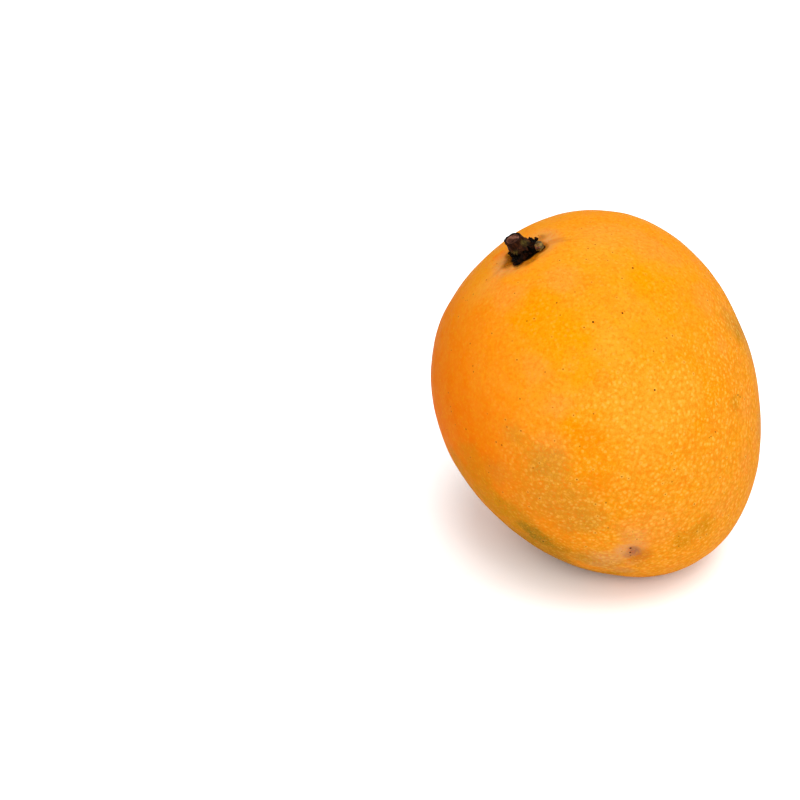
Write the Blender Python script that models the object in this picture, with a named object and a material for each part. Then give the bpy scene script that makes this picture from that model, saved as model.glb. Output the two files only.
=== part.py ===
"""A ripe mango with a short woody stem stub, leaning on a small flat spot.

Metres, +Z up. The fruit is shaped about its own long axis, stem end up, then turned to the
way it stands. The origin is the bottom centre of the fruit's box, on the resting plane.
"""

import math

import bmesh
import bpy
import numpy as np
from mathutils import Matrix, Vector

# The whole fruit: half sizes about its own centre. X is the belly side, Y a cheek, Z the stem end.
HALF_LENGTH = 0.04515
HALF_BREADTH = 0.0411
HALF_THICKNESS = 0.0361

# The stem end is this share wider than the middle, and both ends are this share fuller.
STEM_END_WIDER = 0.158
ENDS_FULLER = 0.017

# The stem end stands this far from the middle line towards the back, and the tip as far to the belly.
SPINE_SLANT = 0.0011

# The underside is fuller where the fruit has lain, which brings its weight over the flat spot.
UNDERSIDE_SWELL = 0.004
UNDERSIDE_SPREAD = math.radians(24)
UNDERSIDE_POLAR = math.radians(120)
UNDERSIDE_AZIMUTH = math.radians(-94)

# The shoulder on the back's side of the stem is lower than the others.
SHOULDER_DROP = 0.00094
SHOULDER_SPREAD = math.radians(13.3)
SHOULDER_POLAR = math.radians(22.6)
SHOULDER_AZIMUTH = math.radians(-128.9)

# The stem's direction, and the hollow that it sits in: a flat floor square to the stem, and a
# wall that rises to the shoulders, nearer on the front side.
STEM_POLAR = math.radians(10.9)
STEM_AZIMUTH = math.radians(50.7)
HOLLOW_DEPTH = 0.00095
HOLLOW_FLOOR_RADIUS = 0.0047
HOLLOW_RIM_RADIUS = 0.0125
HOLLOW_FRONT_NEARER = 0.4
HOLLOW_FRONT_AZIMUTH = math.radians(-23)

# The navel, where the flower's style was: a dimple on a low swelling of the belly side.
NAVEL_FROM_TIP = math.radians(61.2)
NAVEL_DIMPLE_DEPTH = 0.0011
NAVEL_DIMPLE_SPREAD = 0.0026
NAVEL_SWELL = 0.0003
NAVEL_SWELL_SPREAD = 0.007

# How the fruit stands: its long axis leans from upright, and the belly side faces the front.
STEM_HEADING = math.radians(167.8)
LEAN_FROM_UPRIGHT = math.radians(34.6)
TURN_ABOUT_AXIS = math.radians(87.4)

# The flat spot is this much lower than the rounded underside would have reached.
FLAT_SPOT_DEPTH = 0.0024

# The stem stub's turned profile from its cut end down to its base, as (radius, height).
STUB_PROFILE = (
    (0.0, 0.00445),
    (0.00090, 0.00447),
    (0.00145, 0.00452),
    (0.00168, 0.00478),
    (0.00188, 0.00480),
    (0.00202, 0.00450),
    (0.00218, 0.00380),
    (0.00240, 0.00300),
    (0.00265, 0.00235),
    (0.00292, 0.00185),
    (0.00325, 0.00140),
    (0.00360, 0.00090),
    (0.00385, 0.00045),
    (0.00375, 0.0),
    (0.0, 0.0),
)
STUB_SIDES = 36
STUB_GAP = 0.0003

# The wood leans to one side by this much, and its cut stays level.
WOOD_LEAN = math.radians(12.5)
WOOD_LEAN_AZIMUTH = math.radians(-112)

# The crust round the stub's foot reaches furthest at the front, and the wood above it has faint
# flutes, each given as waves: (count, height as a share of the radius, start in radians).
CRUST_TOP = 0.0020
CRUST_LOBES = ((1, 0.10, 2.72), (2, 0.06, 3.87), (5, 0.02, 2.1))
WOOD_FLUTES = ((4, 0.025, 1.0), (7, 0.012, 0.3))

# A bud scar stands out at the crust's edge. Its underside is flat, just above the stub's base.
BUD_RADIUS = 0.00108
BUD_FROM_AXIS = 0.00440
BUD_HEIGHT = 0.00085
BUD_UNDERSIDE = 0.00005
BUD_AZIMUTH = math.radians(22)
BUD_SIDES = 16
BUD_RINGS = 10

# The fruit's grid, whose rings are drawn closer together at the stem by this share.
FRUIT_SIDES = 80
FRUIT_RINGS = 54
RINGS_CLOSER_AT_STEM = 0.45
CUTTER_SIZE = 0.06

SKIN_COLOUR = (0.930, 0.380, 0.022)
SKIN_ROUGHNESS = 0.5
WOOD_COLOUR = (0.075, 0.036, 0.020)
WOOD_ROUGHNESS = 0.8


def clear_scene():
    for obj in list(bpy.data.objects):
        bpy.data.objects.remove(obj, do_unlink=True)


def new_collection(name):
    collection = bpy.data.collections.new(name)
    bpy.context.scene.collection.children.link(collection)
    return collection


def principled(name, colour, roughness):
    material = bpy.data.materials.new(name)
    material.use_nodes = True
    shader = material.node_tree.nodes["Principled BSDF"]
    shader.inputs["Base Color"].default_value = (*colour, 1.0)
    shader.inputs["Roughness"].default_value = roughness
    shader.inputs["Metallic"].default_value = 0.0
    material.diffuse_color = (*colour, 1.0)
    return material


def direction(polar, azimuth):
    """The unit vector at an angle from +Z, turned about Z from +X."""
    flat = math.sin(polar)
    return np.array((flat * math.cos(azimuth), flat * math.sin(azimuth), math.cos(polar)))


def smooth_step(values):
    """0 below 0, 1 above 1, and a level start and end between."""
    held = np.clip(values, 0.0, 1.0)
    return held * held * held * (held * (6.0 * held - 15.0) + 10.0)


def hump(ways, polar, azimuth, spread):
    """1 at a direction and falling smoothly to 0 round it, for unit vectors given as rows."""
    away = np.arccos(np.clip(ways @ direction(polar, azimuth), -1.0, 1.0))
    return np.exp(-(away**2) / (2.0 * spread**2))


def plain_body(ways):
    """Points of the fruit without its hollow and navel, for unit vectors given as rows.

    An ellipsoid whose cross-sections widen towards the stem end and at both ends, on a
    slightly slanted spine, with its underside swollen outwards and one shoulder lowered.
    """
    along = ways[:, 2]
    width = 1.0 + STEM_END_WIDER * along + ENDS_FULLER * along**2
    points = np.column_stack(
        (
            HALF_BREADTH * ways[:, 0] * width - SPINE_SLANT * along,
            HALF_THICKNESS * ways[:, 1] * width,
            HALF_LENGTH * along,
        )
    )
    swell = UNDERSIDE_SWELL * hump(ways, UNDERSIDE_POLAR, UNDERSIDE_AZIMUTH, UNDERSIDE_SPREAD)
    swell -= SHOULDER_DROP * hump(ways, SHOULDER_POLAR, SHOULDER_AZIMUTH, SHOULDER_SPREAD)
    reach = np.linalg.norm(points, axis=1)
    return points * (1.0 + swell / reach)[:, None]


def stem_turn():
    """The turn from the fruit's own axes to the stem's, whose Z is the stem's direction."""
    return Matrix.Rotation(STEM_AZIMUTH, 3, "Z") @ Matrix.Rotation(STEM_POLAR, 3, "Y")


def hollow_floor():
    """The middle of the stem hollow's flat floor."""
    stem = direction(STEM_POLAR, STEM_AZIMUTH)
    return plain_body(stem[None, :])[0] - HOLLOW_DEPTH * stem


def press_hollow(points):
    """Draws the skin near the stem down to the hollow's flat floor."""
    stem = direction(STEM_POLAR, STEM_AZIMUTH)
    from_floor = (points - hollow_floor()) @ np.array(stem_turn())
    sideways = np.hypot(from_floor[:, 0], from_floor[:, 1])
    azimuth = np.arctan2(from_floor[:, 1], from_floor[:, 0])
    facing = np.clip(np.cos(azimuth - HOLLOW_FRONT_AZIMUTH), 0.0, 1.0) ** 2
    rim = HOLLOW_RIM_RADIUS * (1.0 - HOLLOW_FRONT_NEARER * facing)
    rise = smooth_step((sideways - HOLLOW_FLOOR_RADIUS) / (rim - HOLLOW_FLOOR_RADIUS))
    pressed = np.where(points @ stem > 0.0, 1.0 - rise, 0.0)
    points -= (pressed * from_floor[:, 2])[:, None] * stem


def fruit_points(ways):
    """The fruit's skin: the plain body with the navel and the stem hollow pressed in."""
    points = plain_body(ways)
    navel = plain_body(direction(math.pi - NAVEL_FROM_TIP, 0.0)[None, :])[0]
    away = np.linalg.norm(points - navel, axis=1)
    lift = NAVEL_SWELL * np.exp(-((away / NAVEL_SWELL_SPREAD) ** 2))
    lift -= NAVEL_DIMPLE_DEPTH * np.exp(-((away / NAVEL_DIMPLE_SPREAD) ** 2))
    points += lift[:, None] * navel / np.linalg.norm(navel)
    press_hollow(points)
    return points


def sphere_object(name, sides, rings, collection):
    """A unit UV sphere as a new object."""
    mesh = bpy.data.meshes.new(name)
    cage = bmesh.new()
    bmesh.ops.create_uvsphere(cage, u_segments=sides, v_segments=rings, radius=1.0)
    cage.to_mesh(mesh)
    cage.free()
    obj = bpy.data.objects.new(name, mesh)
    collection.objects.link(obj)
    return obj


def read_points(mesh):
    points = np.empty(len(mesh.vertices) * 3)
    mesh.vertices.foreach_get("co", points)
    return points.reshape(-1, 3)


def write_points(mesh, points):
    mesh.vertices.foreach_set("co", points.ravel())
    mesh.update()


def build_fruit(collection, material):
    """A sphere with its pole turned to the stem and its rings drawn closer there, reshaped."""
    fruit = sphere_object("fruit", FRUIT_SIDES, FRUIT_RINGS, collection)
    ways = read_points(fruit.data)
    share = np.arccos(np.clip(ways[:, 2], -1.0, 1.0)) / math.pi
    polar = math.pi * share * (1.0 - RINGS_CLOSER_AT_STEM * (1.0 - share))
    azimuth = np.arctan2(ways[:, 1], ways[:, 0])
    ways = np.column_stack(
        (np.sin(polar) * np.cos(azimuth), np.sin(polar) * np.sin(azimuth), np.cos(polar))
    )
    write_points(fruit.data, fruit_points(ways @ np.array(stem_turn()).T))
    fruit.data.materials.append(material)
    fruit.data.shade_smooth()
    return fruit


def ripple(azimuth, waves):
    """1 with a few waves round the axis, each given as (count, height, start)."""
    total = np.ones_like(azimuth)
    for count, height, start in waves:
        total += height * np.sin(count * azimuth + start)
    return total


def build_stub(collection, material):
    """A sphere whose rings are drawn onto the stub's profile, leaning to its side."""
    rings = len(STUB_PROFILE) - 1
    stub = sphere_object("stem_stub", STUB_SIDES, rings, collection)
    ways = read_points(stub.data)
    share = np.arccos(np.clip(ways[:, 2], -1.0, 1.0)) / math.pi
    ring = np.rint(share * rings).astype(int)
    azimuth = np.arctan2(ways[:, 1], ways[:, 0])
    radius, height = np.array(STUB_PROFILE)[ring].T
    waves = np.where(height < CRUST_TOP, ripple(azimuth, CRUST_LOBES), ripple(azimuth, WOOD_FLUTES))
    points = np.column_stack(
        (radius * waves * np.cos(azimuth), radius * waves * np.sin(azimuth), height)
    )
    sideways = direction(math.pi / 2.0, WOOD_LEAN_AZIMUTH)
    points += math.tan(WOOD_LEAN) * height[:, None] * sideways
    write_points(stub.data, points)
    stub.data.materials.append(material)
    stub.data.shade_smooth()
    return stub


def build_bud(collection):
    """The bud scar, a small ball sunk into the stub's foot, with its underside pressed flat."""
    bud = sphere_object("bud_scar", BUD_SIDES, BUD_RINGS, collection)
    middle = BUD_FROM_AXIS * direction(math.pi / 2.0, BUD_AZIMUTH)
    middle[2] = BUD_HEIGHT
    points = read_points(bud.data) * BUD_RADIUS + middle
    points[:, 2] = np.maximum(points[:, 2], BUD_UNDERSIDE)
    write_points(bud.data, points)
    return bud


def build_floor_cutter(collection):
    """A cube whose top is the resting plane."""
    mesh = bpy.data.meshes.new("floor_cutter")
    cage = bmesh.new()
    bmesh.ops.create_cube(cage, size=CUTTER_SIZE)
    cage.to_mesh(mesh)
    cage.free()
    cutter = bpy.data.objects.new("floor_cutter", mesh)
    cutter.location.z = -CUTTER_SIZE / 2.0
    collection.objects.link(cutter)
    return cutter


def add_boolean(obj, other, operation):
    modifier = obj.modifiers.new(f"{operation.lower()}_{other.name}", "BOOLEAN")
    modifier.operation = operation
    modifier.solver = "EXACT"
    modifier.object = other
    other.hide_render = True
    other.display_type = "WIRE"


def standing_pose(fruit):
    """The turn and place that stand the fruit on its flat spot, centred over the origin."""
    turn = (
        Matrix.Rotation(STEM_HEADING, 4, "Z")
        @ Matrix.Rotation(LEAN_FROM_UPRIGHT, 4, "Y")
        @ Matrix.Rotation(TURN_ABOUT_AXIS, 4, "Z")
    )
    stood = read_points(fruit.data) @ np.array(turn.to_3x3()).T
    low = stood.min(axis=0)
    high = stood.max(axis=0)
    middle = (low + high) / 2.0
    place = Vector((-middle[0], -middle[1], -low[2] - FLAT_SPOT_DEPTH))
    return Matrix.Translation(place) @ turn


def main():
    clear_scene()
    mango = new_collection("mango")
    cutters = new_collection("cutters")
    skin = principled("mango_skin", SKIN_COLOUR, SKIN_ROUGHNESS)
    wood = principled("stem_wood", WOOD_COLOUR, WOOD_ROUGHNESS)

    fruit = build_fruit(mango, skin)
    stub = build_stub(mango, wood)
    bud = build_bud(cutters)
    floor_cutter = build_floor_cutter(cutters)

    pose = bpy.data.objects.new("standing_pose", None)
    mango.objects.link(pose)
    pose.matrix_world = standing_pose(fruit)
    for piece in (fruit, stub, bud):
        piece.parent = pose
    foot = hollow_floor() + STUB_GAP * direction(STEM_POLAR, STEM_AZIMUTH)
    for piece in (stub, bud):
        piece.location = foot
        piece.rotation_euler = stem_turn().to_euler()

    add_boolean(fruit, floor_cutter, "DIFFERENCE")
    add_boolean(stub, bud, "UNION")


main()
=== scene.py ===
import math

import bpy
import numpy as np
from bpy.props import FloatProperty, FloatVectorProperty, IntProperty, PointerProperty
from bpy.types import Operator, Panel, PropertyGroup
from mathutils import Matrix, Vector


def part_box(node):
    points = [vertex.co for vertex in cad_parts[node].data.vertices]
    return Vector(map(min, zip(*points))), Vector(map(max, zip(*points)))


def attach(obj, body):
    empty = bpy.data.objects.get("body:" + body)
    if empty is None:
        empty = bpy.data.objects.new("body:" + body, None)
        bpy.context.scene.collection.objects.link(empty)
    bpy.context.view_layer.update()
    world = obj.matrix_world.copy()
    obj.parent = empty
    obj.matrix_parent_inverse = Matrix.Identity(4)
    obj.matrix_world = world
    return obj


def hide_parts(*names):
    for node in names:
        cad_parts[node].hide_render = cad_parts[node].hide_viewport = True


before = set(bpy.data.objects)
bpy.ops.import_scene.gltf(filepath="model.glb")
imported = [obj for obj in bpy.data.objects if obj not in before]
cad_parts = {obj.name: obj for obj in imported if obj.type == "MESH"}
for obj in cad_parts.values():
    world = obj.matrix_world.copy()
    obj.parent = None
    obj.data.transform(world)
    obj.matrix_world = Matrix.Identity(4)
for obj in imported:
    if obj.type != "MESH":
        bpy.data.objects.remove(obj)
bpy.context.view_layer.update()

bl_info = {
    "name": "Ripe mango",
    "version": (1, 0, 0),
    "blender": (4, 5, 0),
    "location": "View3D > Sidebar > Mango",
    "description": "Gives the solid mango its skin, its stem stub and a studio stage",
    "category": "Object",
}

FRUIT_LOW, FRUIT_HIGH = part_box("fruit")

# The photograph is this many pixels square. Marks are placed by its pixels, from its top left.
PHOTO_SIZE = 800


def linear(code):
    """An sRGB hex colour such as #FFAA22 as linear red, green and blue."""
    parts = [int(code[place : place + 2], 16) / 255.0 for place in (1, 3, 5)]
    return tuple(
        part / 12.92 if part <= 0.04045 else ((part + 0.055) / 1.055) ** 2.4 for part in parts
    )


def length(name, default, description):
    return FloatProperty(name=name, default=default, description=description, unit="LENGTH", precision=5)


def angle(name, degrees, description):
    return FloatProperty(
        name=name, default=math.radians(degrees), description=description, subtype="ANGLE"
    )


def share(name, default, description):
    return FloatProperty(name=name, default=default, description=description)


def colour(name, code, description):
    return FloatVectorProperty(
        name=name, default=linear(code), description=description, subtype="COLOR", min=0.0, max=1.0
    )


class FruitForm(PropertyGroup):
    """The fruit's sizes, as the solid has them, about its own long axis with the stem up."""

    half_length: length("Half length", 0.04515, "Half the fruit's length along its axis")
    half_breadth: length("Half breadth", 0.0411, "Half its width from belly to back")
    half_thickness: length("Half thickness", 0.0361, "Half its width from cheek to cheek")
    stem_end_wider: share("Stem end wider", 0.158, "How much wider the stem end is than the middle")
    ends_fuller: share("Ends fuller", 0.017, "How much fuller both ends are than an ellipsoid")
    spine_slant: length("Spine slant", 0.0011, "How far the stem end stands towards the back")
    underside_swell: length("Underside swell", 0.004, "How much fuller the underside is")
    underside_spread: angle("Underside spread", 24, "How far round that fullness reaches")
    underside_polar: angle("Underside polar", 120, "Where it is, from the stem end")
    underside_azimuth: angle("Underside azimuth", -94, "Where it is, round the axis")
    shoulder_drop: length("Shoulder drop", 0.00094, "How much lower one shoulder is")
    shoulder_spread: angle("Shoulder spread", 13.3, "How far round that shoulder reaches")
    shoulder_polar: angle("Shoulder polar", 22.6, "Where it is, from the stem end")
    shoulder_azimuth: angle("Shoulder azimuth", -128.9, "Where it is, round the axis")
    stem_polar: angle("Stem polar", 10.9, "Where the stem is, from the long axis")
    stem_azimuth: angle("Stem azimuth", 50.7, "Where the stem is, round the axis")
    hollow_depth: length("Hollow depth", 0.00095, "Depth of the stem hollow's flat floor")
    hollow_floor_radius: length("Hollow floor radius", 0.0047, "Radius of that floor")
    hollow_rim_radius: length("Hollow rim radius", 0.0125, "Radius where the shoulders begin")
    hollow_front_nearer: share("Hollow front nearer", 0.4, "How much nearer its front rim is")
    hollow_front_azimuth: angle("Hollow front azimuth", -23, "Where its front is, round the stem")
    navel_from_tip: angle("Navel from tip", 61.2, "Where the navel is, from the tip")
    navel_dimple_depth: length("Navel dimple depth", 0.0011, "Depth of the navel's dimple")
    navel_dimple_spread: length("Navel dimple spread", 0.0026, "Radius of that dimple")
    navel_swell: length("Navel swelling", 0.0003, "Height of the low swelling round it")
    navel_swell_spread: length("Navel swelling spread", 0.007, "Radius of that swelling")
    heading: angle("Heading", 167.8, "Which way the stem end leans")
    lean: angle("Lean", 34.6, "How far the long axis leans from upright")
    turn: angle("Turn", 87.4, "How far the fruit is turned about its own axis")
    rows: IntProperty(name="Rows", default=270, description="Rows of points from stem to tip")
    columns: IntProperty(name="Columns", default=300, description="Points in each row")


class SkinFinish(PropertyGroup):
    """The waxy skin's colours and the sizes of its marks."""

    ground: colour("Ground", "#C47913", "Most of the ripe skin")
    deep: colour("Deep orange", "#C55E02", "The cheek that is most orange")
    gold: colour("Gold", "#C47800", "Clear golden patches")
    light: colour("Light", "#C58221", "The palest yellow of the belly")
    peach: colour("Peach", "#C4772C", "Faint blush on the shoulders")
    olive: colour("Olive", "#8C6A26", "Patches that haven't coloured")
    # Brown and green also paint shade over the lower left edge of the fruit.
    green: colour("Green", "#615308", "The greenest of them")
    brown: colour("Brown", "#9F6808", "Tan scuffs")
    ash: colour("Ash", "#B17E4B", "Grey-pink bloom round the hollow and the navel")
    # Rust is painted shade: on the lower right side of the navel's dimple and along the hollow's folds.
    rust: colour("Rust", "#91531C", "The orange-brown side of the navel")
    bruise: colour("Bruise", "#7D533B", "The grey-purple skin in the navel")
    # Amber is partly a stain and partly painted shade in the hollow against the crust; it also darkens some
    # pores' middles.
    amber: colour("Amber", "#6E3D03", "Amber-brown skin against the crust")
    # This black is the specks and points, and painted shade on the hollow's floor under the crust.
    specks_and_hollow_shade: colour("Specks and hollow shade", "#0C0603", "Specks, points and the floor of the hollow")
    pore: colour("Pore", "#C8983F", "Pale pores")
    # The deep cheek's orange is partly the skin's own colour and partly painted shade and reflected orange
    # light.
    deep_cheek_heading: angle("Deep cheek heading", -166, "Which way the most orange cheek faces")
    deep_cheek_height: angle("Deep cheek height", -14, "How far above level it faces")
    cloud_size: length("Cloud size", 0.016, "Size of the broad clouding")
    mottle_size: length("Mottle size", 0.0036, "Size of the fine clouding")
    grain_size: length("Grain size", 0.0008, "Size of the finest flecks")
    pore_cell: length("Pore cell", 0.00110, "Size of the space that holds one small pore")
    large_pore_cell: length("Large pore cell", 0.0025, "Size of the space that holds one large pore")
    pore_jitter: length("Pore jitter", 0.00018, "How uneven the pores' outlines are")
    roughness: FloatProperty(name="Roughness", default=0.50, description="Gloss of the wax")
    gloss: FloatProperty(name="Gloss", default=0.004, description="How much light the wax mirrors")


class StemForm(PropertyGroup):
    """The stem stub's sizes, as the solid has them, above the hollow's floor."""

    gap: length("Gap", 0.0003, "Clear height under the stub")
    wood_lean: angle("Wood lean", 14.0, "How far the wood leans, with its cut kept level")
    wood_lean_azimuth: angle("Wood lean azimuth", -112, "Which way it leans")
    bud_radius: length("Bud radius", 0.00108, "Radius of the bud scar")
    bud_from_axis: length("Bud from axis", 0.00440, "How far out the bud scar is")
    bud_height: length("Bud height", 0.00085, "How high it is above the stub's base")
    bud_underside: length("Bud underside", 0.00005, "Where its underside is pressed flat")
    bud_azimuth: angle("Bud azimuth", 22, "Where it is, round the stub")


class StudioStage(PropertyGroup):
    """The camera, the floor and the lights."""

    elevation: angle("Elevation", 30, "Camera's height above the horizon")
    distance: length("Distance", 0.45, "Camera to the fruit's middle, along the view")
    aside: length("Aside", 0.0490, "How far the fruit's middle is right of the picture's")
    below: length("Below", 0.0, "How far it is below the picture's")
    lens: FloatProperty(name="Lens", default=85.0, description="Focal length in millimetres")
    sensor: FloatProperty(name="Sensor", default=36.0, description="Sensor width in millimetres")
    floor_size: length("Floor size", 6.0, "Side of the floor")
    floor_colour: colour("Floor", "#FBFBFB", "Plain white paper")
    sky: FloatProperty(name="Sky", default=0.75, description="Strength of the even light")
    key: FloatProperty(name="Key", default=13.0, description="Power of the large overhead light")
    front: FloatProperty(name="Front", default=8.0, description="Power of the light by the camera")


def direction(polar, azimuth):
    """The unit vector at an angle from +Z, turned about Z from +X, or a row for each of many."""
    flat = np.sin(polar)
    return np.stack((flat * np.cos(azimuth), flat * np.sin(azimuth), np.cos(polar)), axis=-1)


def level_way(azimuth):
    """The level unit vector at an azimuth about Z from +X, or a row for each of many."""
    return np.stack((np.cos(azimuth), np.sin(azimuth), np.zeros_like(azimuth)), axis=-1)


def smooth_step(values, low=0.0, high=1.0):
    """0 below low, 1 above high, with a level start and end between. high may be below low."""
    held = np.clip((np.asarray(values) - low) / (high - low), 0.0, 1.0)
    return held * held * held * (held * (6.0 * held - 15.0) + 10.0)


def wave_field(points, size, seed, waves=26):
    """A smooth random field about 0, with a standard deviation of 1: the sum of plane waves.

    Each wave is a cosine of the distance along a seeded direction, near one wavelength, so
    the field has no grid.
    """
    draw = np.random.default_rng(seed)
    ways = draw.normal(size=(waves, 3))
    ways /= np.linalg.norm(ways, axis=1)[:, None]
    sizes = size * draw.uniform(0.7, 1.5, waves)
    starts = draw.uniform(0.0, math.tau, waves)
    phase = points @ (ways * (math.tau / sizes)[:, None]).T + starts
    return np.cos(phase).sum(axis=1) * math.sqrt(2.0 / waves)


def waves_of(points, layers):
    """The sum of wave fields, each given as (height, size, seed)."""
    return sum(height * wave_field(points, size, seed) for height, size, seed in layers)


def hump(ways, polar, azimuth, spread):
    """1 at a direction and falling smoothly to 0 round it, for unit vectors given as rows."""
    away = np.arccos(np.clip(ways @ direction(polar, azimuth), -1.0, 1.0))
    return np.exp(-(away**2) / (2.0 * spread**2))


def plain_body(form, ways):
    """The fruit without its hollow and navel, for unit vectors given as rows.

    An ellipsoid whose cross-sections widen towards the stem end and at both ends, on a
    slightly slanted spine, with its underside swollen outwards and one shoulder lowered.
    """
    along = ways[:, 2]
    width = 1.0 + form.stem_end_wider * along + form.ends_fuller * along**2
    points = np.column_stack(
        (
            form.half_breadth * ways[:, 0] * width - form.spine_slant * along,
            form.half_thickness * ways[:, 1] * width,
            form.half_length * along,
        )
    )
    underside = hump(ways, form.underside_polar, form.underside_azimuth, form.underside_spread)
    shoulder = hump(ways, form.shoulder_polar, form.shoulder_azimuth, form.shoulder_spread)
    swell = form.underside_swell * underside - form.shoulder_drop * shoulder
    reach = np.linalg.norm(points, axis=1)
    return points * (1.0 + swell / reach)[:, None]


def stem_turn(form):
    """The turn from the fruit's own axes to the stem's, whose Z is the stem's direction."""
    turn = Matrix.Rotation(form.stem_azimuth, 3, "Z") @ Matrix.Rotation(form.stem_polar, 3, "Y")
    return np.array(turn)


def hollow_floor(form):
    """The middle of the stem hollow's flat floor."""
    stem = direction(form.stem_polar, form.stem_azimuth)
    return plain_body(form, stem[None, :])[0] - form.hollow_depth * stem


def navel_middle(form):
    return plain_body(form, direction(math.pi - form.navel_from_tip, 0.0)[None, :])[0]


# Folds that run out of the stem hollow: (azimuth in degrees, depth, half width, start, end).
HOLLOW_FOLDS = (
    (46, 0.00030, 0.0011, 0.0056, 0.0190),
    (52, 0.00026, 0.0004, 0.0056, 0.0150),
    (84, 0.00018, 0.0010, 0.0056, 0.0110),
    (-88, 0.00022, 0.0010, 0.0056, 0.0140),
    (-108, 0.00026, 0.0010, 0.0056, 0.0150),
    (-128, 0.00018, 0.0009, 0.0056, 0.0130),
    (170, 0.00015, 0.0010, 0.0056, 0.0110),
)

# A fold swings aside by this share of its half width, through one radian in every FOLD_SWING
# metres, and starts within FOLD_FADE of its start.
FOLD_WANDER = 0.35
FOLD_SWING = 0.0016
FOLD_FADE = 0.001


def round_stem(form, points):
    """Points from the hollow's floor in the stem's axes, with their distance and azimuth."""
    from_floor = (points - hollow_floor(form)) @ stem_turn(form)
    sideways = np.hypot(from_floor[:, 0], from_floor[:, 1])
    azimuth = np.arctan2(from_floor[:, 1], from_floor[:, 0])
    near_stem = points @ direction(form.stem_polar, form.stem_azimuth) > 0.0
    return from_floor, np.where(near_stem, sideways, 1.0), azimuth


def turn_between(azimuth, other):
    """The angle from one azimuth to another, from -pi to pi."""
    return (azimuth - other + math.pi) % math.tau - math.pi


def fold_depth(sideways, azimuth):
    """How deep the folds are, at distances from the stem's axis and azimuths round it."""
    total = np.zeros_like(sideways)
    for degrees, depth, half_width, start, end in HOLLOW_FOLDS:
        wander = FOLD_WANDER * half_width * np.sin(sideways / FOLD_SWING + degrees)
        across = turn_between(azimuth, math.radians(degrees)) * sideways + wander
        begun = smooth_step(sideways, start - FOLD_FADE, start + FOLD_FADE)
        left = smooth_step(sideways, end, start)
        total += depth * np.exp(-((across / half_width) ** 2)) * begun * left
    return total


def press_hollow(form, points):
    """Draws the skin down to the hollow's flat floor, with folds that run out of it."""
    from_floor, sideways, azimuth = round_stem(form, points)
    from_floor[:, 2] -= fold_depth(sideways, azimuth)
    facing = np.clip(np.cos(azimuth - form.hollow_front_azimuth), 0.0, 1.0) ** 2
    rim = form.hollow_rim_radius * (1.0 - form.hollow_front_nearer * facing)
    rise = smooth_step((sideways - form.hollow_floor_radius) / (rim - form.hollow_floor_radius))
    from_floor[:, 2] *= rise
    points[:] = hollow_floor(form) + from_floor @ stem_turn(form).T


# Waves that make the skin gently uneven, as (height, size, seed), and the distances from the
# stem's axis over which they grow in.
SKIN_WAVES = ((0.00007, 0.034, 3), (0.00005, 0.013, 4), (0.000016, 0.0052, 5))
SKIN_WAVES_START = 0.004
SKIN_WAVES_FULL = 0.018

# Faint rays on a ring round the navel.
NAVEL_RAYS = 11
NAVEL_RAY_HEIGHT = 0.00006
NAVEL_RAY_RING = 0.0030
NAVEL_RAY_WIDTH = 0.0016


def skin_points(form, ways):
    """The fruit's skin in its own axes: the plain body, gently uneven, with its marks of growth.

    Broad and middling waves stand out by parts of a millimetre, the navel is a dimple with
    faint rays on a low swelling, and the stem hollow is pressed in last.
    """
    points = plain_body(form, ways)
    outward = points / np.linalg.norm(points, axis=1)[:, None]
    _, sideways, _ = round_stem(form, points)
    relief = waves_of(points, SKIN_WAVES) * smooth_step(sideways, SKIN_WAVES_START, SKIN_WAVES_FULL)

    off = points - navel_middle(form)
    away = np.linalg.norm(off, axis=1)
    relief += form.navel_swell * np.exp(-((away / form.navel_swell_spread) ** 2))
    relief -= form.navel_dimple_depth * np.exp(-((away / form.navel_dimple_spread) ** 2))
    around = np.arctan2(off[:, 1], off[:, 2])
    ring = np.exp(-(((away - NAVEL_RAY_RING) / NAVEL_RAY_WIDTH) ** 2))
    relief += NAVEL_RAY_HEIGHT * np.cos(NAVEL_RAYS * around) * ring

    points += relief[:, None] * outward
    press_hollow(form, points)
    return points


def ring_angles(polar, columns):
    """The angles of a grid of rings at polar angles, and then of its two poles."""
    azimuth = np.arange(columns) * math.tau / columns
    polar_grid, azimuth_grid = np.meshgrid(polar, azimuth, indexing="ij")
    polar_all = np.append(polar_grid.ravel(), (0.0, math.pi))
    return polar_all, np.append(azimuth_grid.ravel(), (0.0, 0.0))


def stem_first(form, polar, azimuth):
    """Unit vectors at angles from the stem, which is the pole of every grid on the skin."""
    return direction(polar, azimuth) @ stem_turn(form).T


def standing_turn(form):
    """The turn that stands the fruit as it leans, as a 3 by 3 matrix."""
    return np.array(
        Matrix.Rotation(form.heading, 3, "Z")
        @ Matrix.Rotation(form.lean, 3, "Y")
        @ Matrix.Rotation(form.turn, 3, "Z")
    )


# The plain body is measured with this many rings, and points in each.
MEASURED_RINGS = 181
MEASURED_COLUMNS = 240


def standing_place(form):
    """Where the fruit's middle is: its plain body, stood up, has the solid's sides and top."""
    polar, azimuth = ring_angles(np.linspace(0.0, math.pi, MEASURED_RINGS), MEASURED_COLUMNS)
    stood = plain_body(form, stem_first(form, polar, azimuth)) @ standing_turn(form).T
    low, high = stood.min(axis=0), stood.max(axis=0)
    solid_low, solid_high = np.array(FRUIT_LOW), np.array(FRUIT_HIGH)
    place = (solid_low + solid_high) / 2.0 - (low + high) / 2.0
    place[2] = solid_high[2] - high[2]
    return place


def stand(form, points):
    """Points in the fruit's own axes as points in the frame."""
    return points @ standing_turn(form).T + standing_place(form)


# Over this height the skin rolls from the flat spot into the side.
FLAT_SPOT_ROLL = 0.0011


def settle(points):
    """Rests the skin on z = 0: level below it, and a rounded edge just above."""
    height = points[:, 2]
    roll = FLAT_SPOT_ROLL
    rolled = np.where(height < -roll, 0.0, (height + roll) ** 2 / (4.0 * roll))
    points[:, 2] = np.where(height > roll, height, rolled)


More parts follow.
